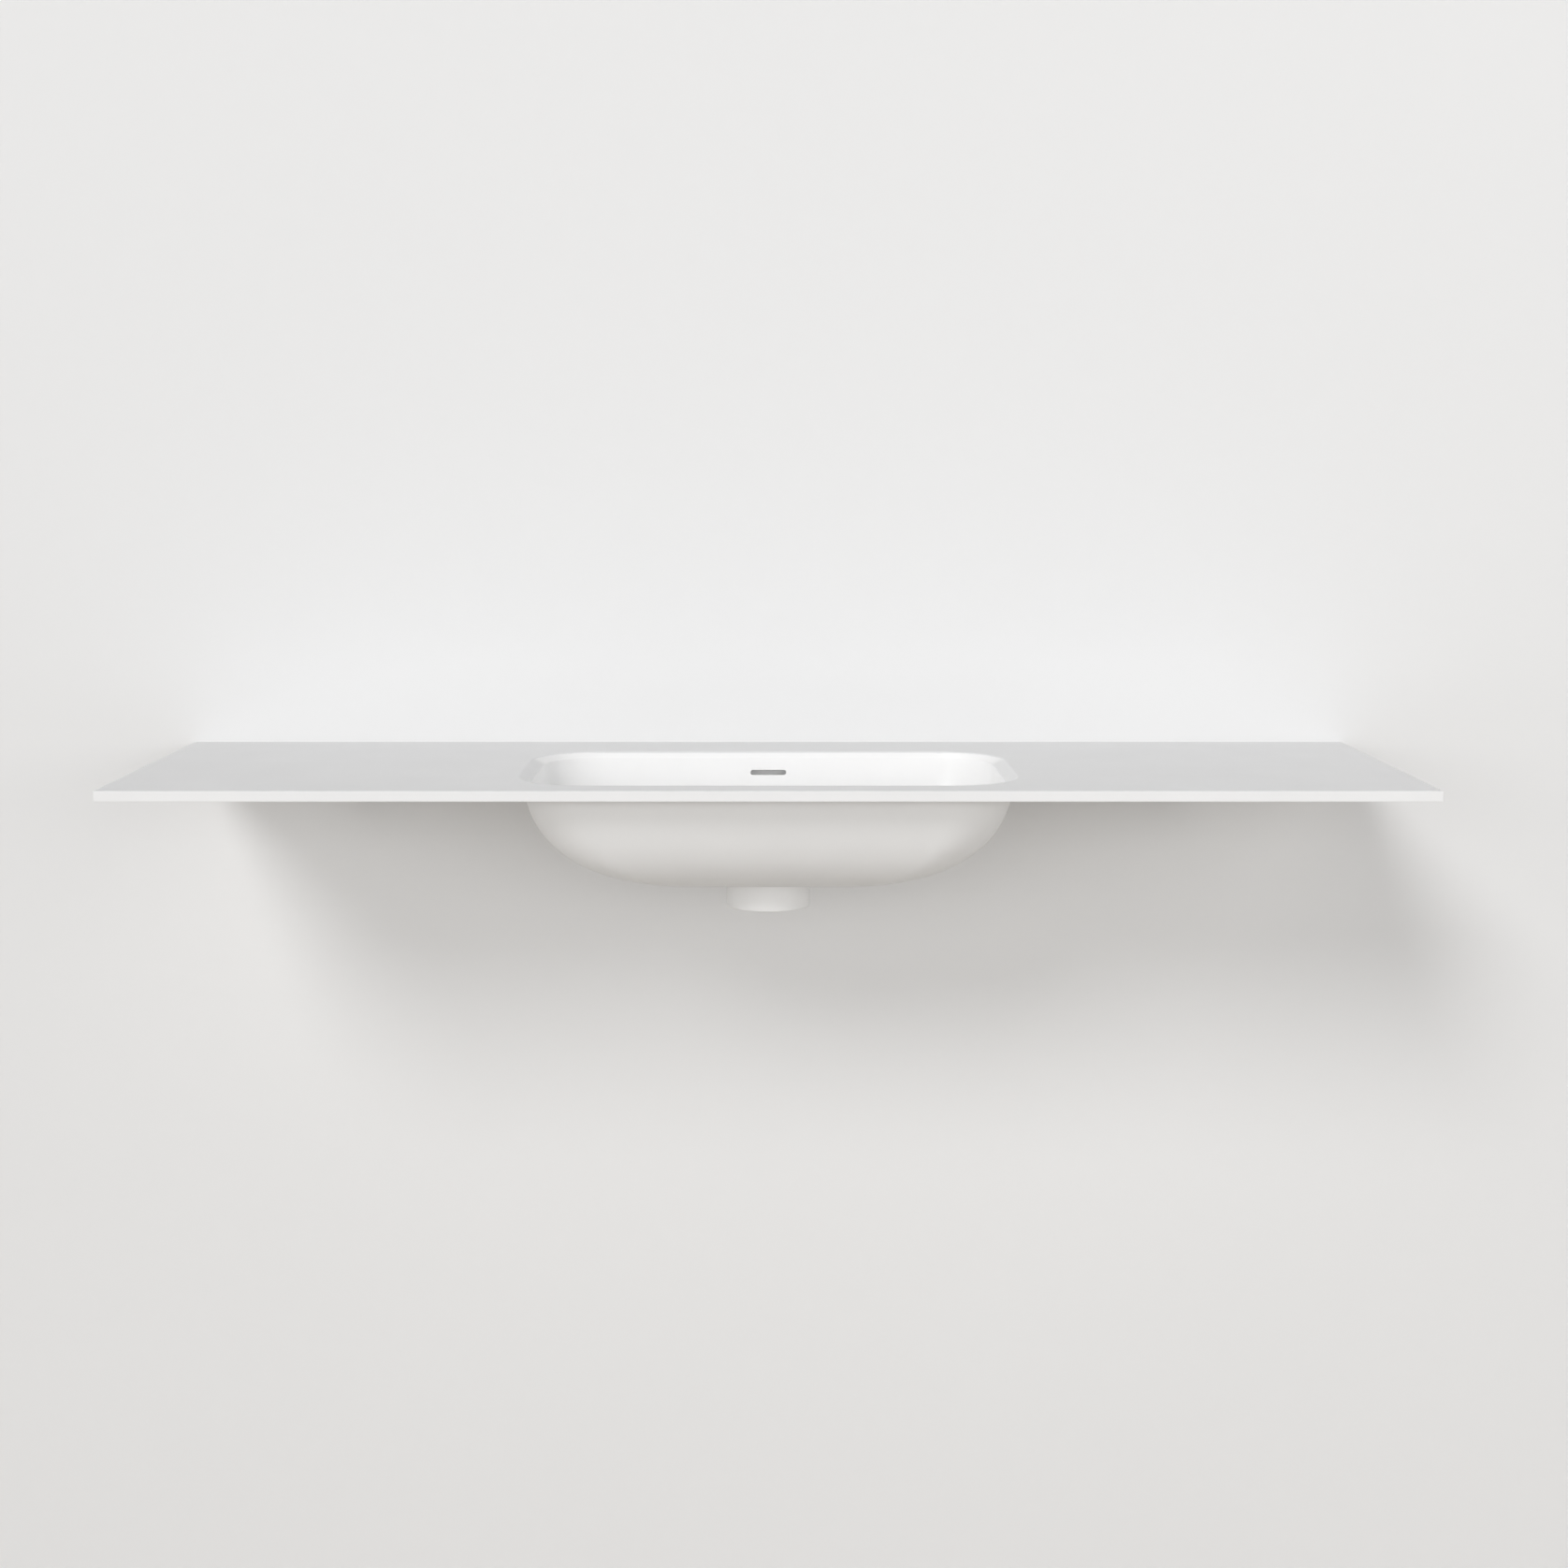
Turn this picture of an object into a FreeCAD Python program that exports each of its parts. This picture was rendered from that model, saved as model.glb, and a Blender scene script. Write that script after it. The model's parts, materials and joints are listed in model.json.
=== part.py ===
import FreeCAD, Part
import math
import os
import Sketcher

# A wall-hung vanity sink top: a thin slab with a bowl bonded under its opening.
# Frame: origin at the middle of the slab's rear top edge, on the wall; +X right, +Y into the wall, +Z up.

SIZES = [
    # slab
    ("slab_length", 1500),
    ("slab_depth", 460),
    ("slab_thickness", 12),
    ("top_edge_radius", 1),
    ("bottom_edge_radius", 0.4),
    # opening in the slab, measured at the slab's underside, and the lip that slopes down to it
    ("opening_length", 555),
    ("opening_width", 306),
    ("opening_corner", 66),
    ("opening_front_margin", 50.5),
    ("mouth_corner", 84),
    ("lip_end_run", 13.5),
    ("lip_side_run", 3.5),
    ("lip_depth", 8),
    ("lip_radius", 4),
    # bowl
    ("rim_wall", 5),
    ("bowl_depth", 122),
    ("bowl_floor", 8),
    ("outer_end_angle", 80),
    ("inner_end_angle", 84),
    ("plan_power", 3.6),
    ("drop_power", 1.8),
    ("flange_width", 10),
    ("flange_thickness", 5),
    # overflow slot in the bowl's rear wall and the channel behind it
    ("slot_length", 45),
    ("slot_height", 6.4),
    ("slot_corner", 3),
    ("slot_margin", 2),
    ("passage_width", 52),
    ("passage_depth", 10),
    ("channel_wall", 4),
    ("bond_gap", 0.3),
    # boss under the bowl
    ("boss_diameter", 100),
    ("boss_height", 32.5),
    ("boss_edge_radius", 1.2),
    ("gallery_diameter", 80),
    ("gallery_height", 18),
    # waste
    ("fit_gap", 0.2),
    ("waste_flange_diameter", 64),
    ("waste_flange_thickness", 2),
    ("waste_tube_diameter", 46),
    ("waste_bore_diameter", 37),
    ("outlet_thread_diameter", 39),
    ("outlet_thread_length", 14),
    ("seat_diameter", 44),
    ("seat_depth", 5),
    ("window_width", 14),
    ("window_margin", 1.5),
    ("spoke_width", 3),
    ("spoke_height", 6),
    ("hub_diameter", 16),
    ("seal_thickness", 1.2),
    ("rebate_gap", 1),
    # threaded ring in the boss and its seal
    ("ring_diameter", 56),
    ("ring_collar_width", 3),
    ("ring_collar_height", 3),
    ("ring_seal_size", 2),
    # plug and its click cartridge
    ("plug_diameter", 60),
    ("plug_thickness", 5),
    ("plug_edge_radius", 4),
    ("plug_gap", 0.3),
    ("neck_diameter", 24),
    ("neck_length", 4),
    ("stem_diameter", 6),
    ("stem_collar_diameter", 12),
    ("stem_collar_height", 2),
    ("cartridge_thread_diameter", 10),
    ("cartridge_diameter", 12),
    ("cartridge_collar_diameter", 15),
    ("cartridge_collar_height", 3),
    ("cartridge_clearance", 1.3),
    ("cartridge_tail", 0.5),
    ("outlet_clearance", 1.5),
    # wall brackets and their fixings
    ("bracket_inset", 230),
    ("bracket_width", 50),
    ("bracket_sheet", 4),
    ("bracket_reach", 330),
    ("bracket_height", 58),
    ("bracket_nose", 14),
    ("bracket_bend_radius", 3),
    ("bracket_nose_radius", 8),
    ("wall_hole_diameter", 9),
    ("wall_hole_drop", 20),
    ("wall_hole_pitch", 26),
    ("pad_thickness", 2),
    ("pad_width", 40),
    ("pad_margin", 15),
    ("screw_diameter", 6),
    ("screw_clearance", 0.6),
    ("screw_head_diameter", 12),
    ("screw_head_height", 3.5),
    ("screw_socket_diameter", 4.6),
    ("screw_socket_depth", 2),
    ("washer_diameter", 14),
    ("washer_thickness", 1.2),
    ("screw_rear_setback", 70),
    ("screw_pitch", 210),
    ("insert_diameter", 9),
    ("insert_length", 8),
]

SECTION_COUNT = 9
SPOKE_COUNT = 3
EDGE_TOLERANCE = 0.001
SMALLEST_CUT = 1

doc = FreeCAD.newDocument("vanity_sink_top")
sheet = doc.addObject("Spreadsheet::Sheet", "Sizes")
for row, (alias, value) in enumerate(SIZES, start=1):
    sheet.set(f"A{row}", alias)
    sheet.set(f"B{row}", str(value))
    sheet.setAlias(f"B{row}", alias)
doc.recompute()

parts = []


def finished(obj, label):
    obj.Label = label
    parts.append(obj)


def cell(alias):
    return f"Sizes.{alias}"


def half(alias):
    return f"Sizes.{alias} / 2"


# Sizes and heights that several pieces share, as expressions of the sheet's values
UNDERSIDE = "-Sizes.slab_thickness"
BASIN_Y = "-Sizes.slab_depth + Sizes.opening_front_margin + Sizes.opening_width / 2"
BOWL_BOTTOM = f"({UNDERSIDE} - Sizes.bowl_depth)"
BOWL_FLOOR = f"({BOWL_BOTTOM} + Sizes.bowl_floor)"
REBATE_DEPTH = "(Sizes.waste_flange_thickness + Sizes.seal_thickness)"
TUBE_LENGTH = "(Sizes.bowl_floor + Sizes.boss_height)"
PASSAGE_TOP = "(Sizes.flange_thickness + Sizes.channel_wall)"
RING_TOP = "(-Sizes.gallery_height + Sizes.ring_collar_height)"
NECK_BOTTOM = "(Sizes.plug_gap - Sizes.neck_length)"
STEM_COLLAR_BOTTOM = f"({NECK_BOTTOM} - Sizes.stem_collar_height)"
BRACKET_X = "(Sizes.slab_length / 2 - Sizes.bracket_inset)"
BRACKET_TOP = f"({UNDERSIDE} - Sizes.pad_thickness)"
HUB_BOTTOM = f"({TUBE_LENGTH} - Sizes.outlet_thread_length - Sizes.outlet_clearance)"


def place(obj, x="0", y="0", z="0"):
    """Bind an object's position to the sizes."""
    obj.setExpression("Placement.Base.x", x)
    obj.setExpression("Placement.Base.y", y)
    obj.setExpression("Placement.Base.z", z)


def new_body(name, x="0", y="0", z="0"):
    body = doc.addObject("PartDesign::Body", name)
    body.Label = name
    place(body, x, y, z)
    return body


def origin_feature(body, role):
    """One of the body's own origin planes or axes."""
    return next(f for f in body.Origin.OriginFeatures if f.Role == role)


def new_sketch(body, name, plane="XY_Plane", offset="0"):
    """Add a sketch on one of the body's own origin planes, moved along the plane's normal."""
    sketch = body.newObject("Sketcher::SketchObject", name)
    sketch.AttachmentSupport = [(origin_feature(body, plane), "")]
    sketch.MapMode = "FlatFace"
    sketch.setExpression("AttachmentOffset.Base.z", offset)
    return sketch


def name_constraint(sketch, constraint, name, expression):
    index = sketch.addConstraint(constraint)
    sketch.renameConstraint(index, name)
    sketch.setExpression(f"Constraints.{name}", expression)


def value_of(expression):
    """Work an expression out now, to start a sketch near its solved shape or to find an edge."""
    return float(sheet.evalExpression(expression.replace("Sizes.", "")))


def polygon(sketch, points):
    """Draw a closed polygon whose corners are pairs of expressions."""
    corners = [FreeCAD.Vector(value_of(x), value_of(y), 0) for x, y in points]
    count = len(corners)
    for i in range(count):
        sketch.addGeometry(Part.LineSegment(corners[i], corners[(i + 1) % count]))
    for i in range(count):
        sketch.addConstraint(Sketcher.Constraint("Coincident", i, 2, (i + 1) % count, 1))
    for i, (x, y) in enumerate(points):
        across = Sketcher.Constraint("DistanceX", -1, 1, i, 1, corners[i].x)
        name_constraint(sketch, across, f"x{i}", x)
        up = Sketcher.Constraint("DistanceY", -1, 1, i, 1, corners[i].y)
        name_constraint(sketch, up, f"y{i}", y)


def circle(sketch, diameter, x="0", y="0"):
    """Draw a circle whose diameter and centre are expressions."""
    centre = FreeCAD.Vector(value_of(x), value_of(y), 0)
    size = value_of(diameter)
    index = sketch.addGeometry(Part.Circle(centre, FreeCAD.Vector(0, 0, 1), size / 2))
    name_constraint(sketch, Sketcher.Constraint("Diameter", index, size), f"diameter{index}", diameter)
    name_constraint(sketch, Sketcher.Constraint("DistanceX", -1, 1, index, 3, centre.x), f"x{index}", x)
    name_constraint(sketch, Sketcher.Constraint("DistanceY", -1, 1, index, 3, centre.y), f"y{index}", y)


def rounded_rectangle(sketch, length, width, corner):
    """Draw a rounded rectangle about the sketch's origin."""
    a = value_of(length) / 2
    b = value_of(width) / 2
    r = value_of(corner)
    up = FreeCAD.Vector(0, 0, 1)
    # each side, anticlockwise from the front, is followed by the arc that leads to the next side
    sides = [
        ((r - a, -b), (a - r, -b)),
        ((a, r - b), (a, b - r)),
        ((a - r, b), (r - a, b)),
        ((-a, b - r), (-a, r - b)),
    ]
    centres = [(a - r, r - b), (a - r, b - r), (r - a, b - r), (r - a, r - b)]
    for i in range(4):
        start, end = (FreeCAD.Vector(*p, 0) for p in sides[i])
        sketch.addGeometry(Part.LineSegment(start, end))
        corner_circle = Part.Circle(FreeCAD.Vector(*centres[i], 0), up, r)
        sketch.addGeometry(Part.ArcOfCircle(corner_circle, math.pi / 2 * (i - 1), math.pi / 2 * i))
    for i in range(8):
        sketch.addConstraint(Sketcher.Constraint("Tangent", i, 2, (i + 1) % 8, 1))
    for side in (0, 4):
        sketch.addConstraint(Sketcher.Constraint("Horizontal", side))
    for side in (2, 6):
        sketch.addConstraint(Sketcher.Constraint("Vertical", side))
    for arc in (3, 5, 7):
        sketch.addConstraint(Sketcher.Constraint("Equal", 1, arc))
    sketch.addConstraint(Sketcher.Constraint("Symmetric", 1, 3, 5, 3, -1, 1))
    name_constraint(sketch, Sketcher.Constraint("Radius", 1, r), "corner", corner)
    name_constraint(sketch, Sketcher.Constraint("DistanceX", 6, 1, 2, 1, 2 * a), "length", length)
    name_constraint(sketch, Sketcher.Constraint("DistanceY", 0, 1, 4, 1, 2 * b), "width", width)


def pad(body, sketch, name, length, reverse=False, symmetric=False):
    feature = body.newObject("PartDesign::Pad", name)
    feature.Profile = sketch
    feature.setExpression("Length", length)
    feature.Reversed = reverse
    if symmetric:
        feature.SideType = "Symmetric"
    doc.recompute()
    return feature


def pocket(body, sketch, name, length, reverse=False, symmetric=False):
    """Cut a pocket and make sure that it takes material away."""
    before = body.Tip.Shape.Volume
    feature = body.newObject("PartDesign::Pocket", name)
    feature.Profile = sketch
    feature.setExpression("Length", length)
    feature.Reversed = reverse
    if symmetric:
        feature.SideType = "Symmetric"
    doc.recompute()
    if feature.Shape.Volume > before - SMALLEST_CUT:
        raise RuntimeError(f"{name} cuts nothing")
    return feature


def revolve(body, name, points):
    """Turn a polygon of (radius, height) expressions about the body's Z axis."""
    sketch = new_sketch(body, f"{name}_profile", "XZ_Plane")
    polygon(sketch, points)
    feature = body.newObject("PartDesign::Revolution", name)
    feature.Profile = sketch
    feature.ReferenceAxis = (sketch, ["V_Axis"])
    feature.Angle = 360
    doc.recompute()
    return feature


def fillet(body, name, radius, chosen):
    """Round the edges of the body's last feature that the test picks out."""
    base = body.Tip
    edges = [f"Edge{i}" for i, edge in enumerate(base.Shape.Edges, start=1) if chosen(edge)]
    feature = body.newObject("PartDesign::Fillet", name)
    feature.Base = (base, edges)
    feature.setExpression("Radius", radius)
    doc.recompute()
    return feature


def polar_pattern(body, feature, name, count):
    """Repeat a feature about the body's Z axis."""
    pattern = body.newObject("PartDesign::PolarPattern", name)
    pattern.Originals = [feature]
    pattern.Axis = (origin_feature(body, "Z_Axis"), [""])
    pattern.Angle = 360
    pattern.Occurrences = count
    body.Tip = pattern
    doc.recompute()


def rectangle_points(x0, x1, y0, y1):
    return [(x0, y0), (x1, y0), (x1, y1), (x0, y1)]


def at_height(edge, height):
    """True for an edge that lies wholly at one height."""
    box = edge.BoundBox
    return abs(box.ZMin - height) < EDGE_TOLERANCE and abs(box.ZMax - height) < EDGE_TOLERANCE


def within(edge, length, width, centre_y):
    """True for an edge whose middle lies inside, or on the border of, an upright rectangle."""
    middle = edge.valueAt((edge.FirstParameter + edge.LastParameter) / 2)
    inside_x = abs(middle.x) < length / 2 + EDGE_TOLERANCE
    return inside_x and abs(middle.y - centre_y) < width / 2 + EDGE_TOLERANCE


def countertop_slab():
    body = new_body("countertop_slab")
    side = half("slab_length")
    outline = new_sketch(body, "slab_outline")
    polygon(outline, rectangle_points(f"-{side}", side, "-Sizes.slab_depth", "0"))
    pad(body, outline, "slab_sheet", cell("slab_thickness"), reverse=True)

    front = -value_of(cell("slab_depth"))
    underside = value_of(UNDERSIDE)

    def on_front_corner(edge):
        return edge.BoundBox.YMax < front + EDGE_TOLERANCE and edge.BoundBox.ZLength > EDGE_TOLERANCE

    def on_border(edge, height):
        return at_height(edge, height) and edge.BoundBox.YMin < -EDGE_TOLERANCE

    fillet(body, "slab_corners", cell("top_edge_radius"), on_front_corner)
    fillet(body, "slab_top_edges", cell("top_edge_radius"), lambda e: on_border(e, 0))
    fillet(body, "slab_bottom_edges", cell("bottom_edge_radius"), lambda e: on_border(e, underside))

    mouth_length = "Sizes.opening_length + 2 * Sizes.lip_end_run"
    mouth_width = "Sizes.opening_width + 2 * Sizes.lip_side_run"
    mouth = new_sketch(body, "mouth_outline")
    rounded_rectangle(mouth, mouth_length, mouth_width, cell("mouth_corner"))
    sections = [mouth]
    for name, height in (("lip_foot_outline", "-Sizes.lip_depth"), ("opening_outline", UNDERSIDE)):
        section = new_sketch(body, name, offset=height)
        rounded_rectangle(section, cell("opening_length"), cell("opening_width"), cell("opening_corner"))
        sections.append(section)
    for section in sections:
        section.setExpression("AttachmentOffset.Base.y", BASIN_Y)
    loft(body, "opening", sections, "SubtractiveLoft", ruled=True)
    mouth_size = (value_of(mouth_length), value_of(mouth_width), value_of(BASIN_Y))
    fillet(body, "opening_lip", cell("lip_radius"), lambda e: at_height(e, 0) and within(e, *mouth_size))

    holes = new_sketch(body, "insert_holes_outline", offset=UNDERSIDE)
    for x, y in fixing_places():
        circle(holes, "Sizes.insert_diameter + 2 * Sizes.fit_gap", x, y)
    pocket(body, holes, "insert_holes", cell("insert_length"), reverse=True)
    finished(body, "countertop_slab")


def fixing_places():
    """Where the brackets are screwed to the slab, as pairs of expressions."""
    setbacks = ("-Sizes.screw_rear_setback", "-Sizes.screw_rear_setback - Sizes.screw_pitch")
    return [(f"{sign}{BRACKET_X}", y) for sign in ("-", "") for y in setbacks]


def bowl_sections(body, name, grow, depth, end_angle):
    """Rounded rectangles from the rim down, which shrink and drop along a superellipse."""
    sections = []
    for k in range(SECTION_COUNT):
        angle = f"{cell(end_angle)} * {k} / {SECTION_COUNT - 1}"
        scale = f"cos({angle}) ^ (2 / Sizes.plan_power)"
        drop = f"(sin({angle}) / sin({cell(end_angle)})) ^ (2 / Sizes.drop_power)"
        sketch = new_sketch(body, f"{name}_section_{k}", offset=f"-({depth}) * {drop}")
        length = f"(Sizes.opening_length + 2 * ({grow})) * {scale}"
        width = f"(Sizes.opening_width + 2 * ({grow})) * {scale}"
        corner = f"(Sizes.opening_corner + {grow}) * {scale}"
        rounded_rectangle(sketch, length, width, corner)
        sections.append(sketch)
    return sections


def loft(body, name, sections, kind="AdditiveLoft", ruled=False):
    feature = body.newObject(f"PartDesign::{kind}", name)
    feature.Profile = sections[0]
    feature.Sections = sections[1:]
    feature.Ruled = ruled
    doc.recompute()


def basin_bowl():
    body = new_body("basin_bowl", "0", BASIN_Y, UNDERSIDE)
    outer = bowl_sections(body, "outside", cell("rim_wall"), cell("bowl_depth"), "outer_end_angle")
    loft(body, "bowl_outside", outer)

    flange = new_sketch(body, "flange_outline")
    flange_grow = "(Sizes.rim_wall + Sizes.flange_width)"
    rounded_rectangle(
        flange,
        f"Sizes.opening_length + 2 * {flange_grow}",
        f"Sizes.opening_width + 2 * {flange_grow}",
        f"Sizes.opening_corner + {flange_grow}",
    )
    pad(body, flange, "flange", cell("flange_thickness"), reverse=True)

    inner_depth = "Sizes.bowl_depth - Sizes.bowl_floor"
    inner = bowl_sections(body, "inside", "0", inner_depth, "inner_end_angle")
    loft(body, "bowl_inside", inner, "SubtractiveLoft")

    rebate = new_sketch(body, "rebate_outline", offset=f"-({inner_depth})")
    circle(rebate, "Sizes.waste_flange_diameter + 2 * Sizes.rebate_gap")
    pocket(body, rebate, "drain_rebate", REBATE_DEPTH)
    drain = new_sketch(body, "drain_outline", offset=f"-({inner_depth})")
    circle(drain, "Sizes.waste_tube_diameter + 2 * Sizes.rebate_gap")
    pocket(body, drain, "drain_hole", cell("bowl_floor"))

    slot = new_sketch(body, "slot_outline", "XZ_Plane")
    slot_centre = f"-({PASSAGE_TOP} + Sizes.slot_margin + Sizes.slot_height / 2)"
    slot.setExpression("AttachmentOffset.Base.y", slot_centre)
    rounded_rectangle(slot, cell("slot_length"), cell("slot_height"), cell("slot_corner"))
    pocket(body, slot, "overflow_slot", "Sizes.opening_width / 2 + Sizes.flange_width")
    finished(body, "basin_bowl")


def bowl_form(name, grow):
    """The bowl's outside grown all round, for shaping the channel that follows it."""
    body = new_body(name, "0", BASIN_Y, UNDERSIDE)
    total = f"(Sizes.rim_wall + {grow})"
    sections = bowl_sections(body, name, total, f"Sizes.bowl_depth + {grow}", "outer_end_angle")
    loft(body, f"{name}_loft", sections)
    return body


def channel_block(name, width, top_drop):
    """A box that takes the rear middle stretch of a grown bowl form."""
    box = doc.addObject("Part::Box", name)
    reach = "(Sizes.opening_width / 2 + Sizes.rim_wall + Sizes.passage_depth + 2 * Sizes.channel_wall)"
    depth = "(Sizes.bowl_depth + Sizes.passage_depth + 2 * Sizes.channel_wall)"
    box.setExpression("Length", width)
    box.setExpression("Width", reach)
    box.setExpression("Height", f"{depth} - ({top_drop})")
    place(box, f"-({width}) / 2", BASIN_Y, f"{UNDERSIDE} - {depth}")
    return box


def boolean(kind, name, base, tool):
    feature = doc.addObject(f"Part::{kind}", name)
    feature.Base = base
    feature.Tool = tool
    doc.recompute()
    return feature


def overflow_channel():
    shell_width = "Sizes.passage_width + 2 * Sizes.channel_wall"
    shell_block = channel_block("shell_block", shell_width, cell("flange_thickness"))
    shell_form = bowl_form("shell_form", "(Sizes.passage_depth + Sizes.channel_wall)")
    shell = boolean("Common", "channel_shell", shell_form, shell_block)
    passage_block = channel_block("passage_block", cell("passage_width"), PASSAGE_TOP)
    passage_form = bowl_form("passage_form", cell("passage_depth"))
    passage = boolean("Common", "channel_passage", passage_form, passage_block)
    duct = boolean("Cut", "channel_duct", shell, passage)
    against_bowl = boolean("Cut", "channel_on_bowl", duct, bowl_form("bond_form", cell("bond_gap")))
    boss_space = doc.addObject("Part::Cylinder", "boss_space")
    boss_space.setExpression("Radius", "Sizes.boss_diameter / 2 + Sizes.bond_gap")
    boss_space.setExpression("Height", "Sizes.bowl_depth + Sizes.boss_height")
    place(boss_space, "0", BASIN_Y, f"{BOWL_BOTTOM} - Sizes.boss_height")
    finished(boolean("Cut", "overflow_duct", against_bowl, boss_space), "overflow_channel")


def drain_boss():
    body = new_body("drain_boss", "0", BASIN_Y, BOWL_BOTTOM)
    inner = half("gallery_diameter")
    outer = half("boss_diameter")
    ring_hole = "Sizes.ring_diameter / 2 + Sizes.fit_gap"
    floor = "-Sizes.gallery_height"
    bottom = "-Sizes.boss_height"
    revolve(body, "boss", [
        (inner, "0"), (outer, "0"), (outer, bottom), (ring_hole, bottom), (ring_hole, floor), (inner, floor),
    ])
    lowest = value_of(bottom)
    rim = value_of(outer)

    def on_lower_rim(edge):
        return at_height(edge, lowest) and edge.BoundBox.XMax > rim - EDGE_TOLERANCE

    fillet(body, "boss_edge", cell("boss_edge_radius"), on_lower_rim)
    window = new_sketch(body, "window_outline", "XZ_Plane")
    side = half("passage_width")
    polygon(window, rectangle_points(f"-{side}", side, "-Sizes.passage_depth", "0"))
    pocket(body, window, "overflow_window", cell("boss_diameter"))
    finished(body, "drain_boss")


def outlet_ring():
    """Threaded ring held in the boss's floor, which the waste screws into."""
    body = new_body("outlet_ring", "0", BASIN_Y, BOWL_BOTTOM)
    bore = "Sizes.waste_tube_diameter / 2 + Sizes.fit_gap"
    outer = half("ring_diameter")
    collar = "Sizes.ring_diameter / 2 + Sizes.ring_collar_width"
    floor = "-Sizes.gallery_height"
    bottom = "-Sizes.boss_height"
    revolve(body, "ring", [
        (bore, RING_TOP), (collar, RING_TOP), (collar, floor),
        (outer, floor), (outer, bottom), (bore, bottom),
    ])
    finished(body, "outlet_ring")

    seal = new_body("outlet_seal", "0", BASIN_Y, BOWL_BOTTOM)
    seal_top = f"{RING_TOP} + Sizes.ring_seal_size"
    seal_outer = f"{bore} + Sizes.ring_seal_size"
    revolve(seal, "seal", rectangle_points(bore, seal_outer, RING_TOP, seal_top))
    finished(seal, "outlet_seal")


def waste_body():
    """Flanged tube through the bowl's floor; heights are measured down from the floor."""
    body = new_body("waste_body", "0", BASIN_Y, BOWL_FLOOR)
    flange = half("waste_flange_diameter")
    tube = half("waste_tube_diameter")
    bore = half("waste_bore_diameter")
    thread = half("outlet_thread_diameter")
    seat = half("seat_diameter")
    under_flange = "-Sizes.waste_flange_thickness"
    bottom = f"-{TUBE_LENGTH}"
    thread_top = f"{bottom} + Sizes.outlet_thread_length"
    revolve(body, "waste_tube", [
        (seat, "0"), (flange, "0"), (flange, under_flange), (tube, under_flange), (tube, bottom),
        (thread, bottom), (thread, thread_top), (bore, thread_top), (bore, "-Sizes.seat_depth"),
    ])
    side = half("window_width")
    window_top = "-Sizes.bowl_floor - Sizes.window_margin"
    window_bottom = f"-Sizes.bowl_floor + {RING_TOP} + Sizes.ring_seal_size + Sizes.window_margin"
    opening = new_sketch(body, "waste_window_outline", "XZ_Plane")
    polygon(opening, rectangle_points(f"-{side}", side, window_bottom, window_top))
    window = pocket(body, opening, "waste_window", cell("waste_tube_diameter"))
    polar_pattern(body, window, "waste_windows", SPOKE_COUNT)

    spoke_outline = new_sketch(body, "spoke_outline", offset=f"-{HUB_BOTTOM}")
    width = half("spoke_width")
    reach = "(Sizes.waste_bore_diameter + Sizes.waste_tube_diameter) / 4"
    polygon(spoke_outline, rectangle_points(f"-{width}", width, f"-{reach}", "0"))
    spoke = pad(body, spoke_outline, "spoke", cell("spoke_height"))
    polar_pattern(body, spoke, "spokes", SPOKE_COUNT)
    hub = new_sketch(body, "hub_outline", offset=f"-{HUB_BOTTOM}")
    circle(hub, cell("hub_diameter"))
    pad(body, hub, "hub", cell("spoke_height"))
    hub_hole = new_sketch(body, "hub_hole_outline", offset=f"-{HUB_BOTTOM}")
    circle(hub_hole, "Sizes.cartridge_thread_diameter + 2 * Sizes.fit_gap")
    pocket(body, hub_hole, "hub_hole", cell("spoke_height"), reverse=True)
    finished(body, "waste_body")

    seal = new_body("waste_flange_seal", "0", BASIN_Y, BOWL_FLOOR)
    inner = "Sizes.waste_tube_diameter / 2 + Sizes.rebate_gap"
    revolve(seal, "flange_seal", rectangle_points(inner, flange, f"-{REBATE_DEPTH}", under_flange))
    finished(seal, "waste_flange_seal")


def click_cartridge():
    body = new_body("click_cartridge", "0", BASIN_Y, BOWL_FLOOR)
    bore = "Sizes.stem_diameter / 2 + Sizes.plug_gap"
    thread = half("cartridge_thread_diameter")
    collar = half("cartridge_collar_diameter")
    sleeve = half("cartridge_diameter")
    tail = f"-{HUB_BOTTOM} - Sizes.cartridge_tail"
    hub_top = f"-{HUB_BOTTOM} + Sizes.spoke_height"
    collar_top = f"{hub_top} + Sizes.cartridge_collar_height"
    top = f"{STEM_COLLAR_BOTTOM} - Sizes.cartridge_clearance"
    revolve(body, "cartridge", [
        (bore, tail), (thread, tail), (thread, hub_top), (collar, hub_top), (collar, collar_top),
        (sleeve, collar_top), (sleeve, top), (bore, top),
    ])
    finished(body, "click_cartridge")


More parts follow.
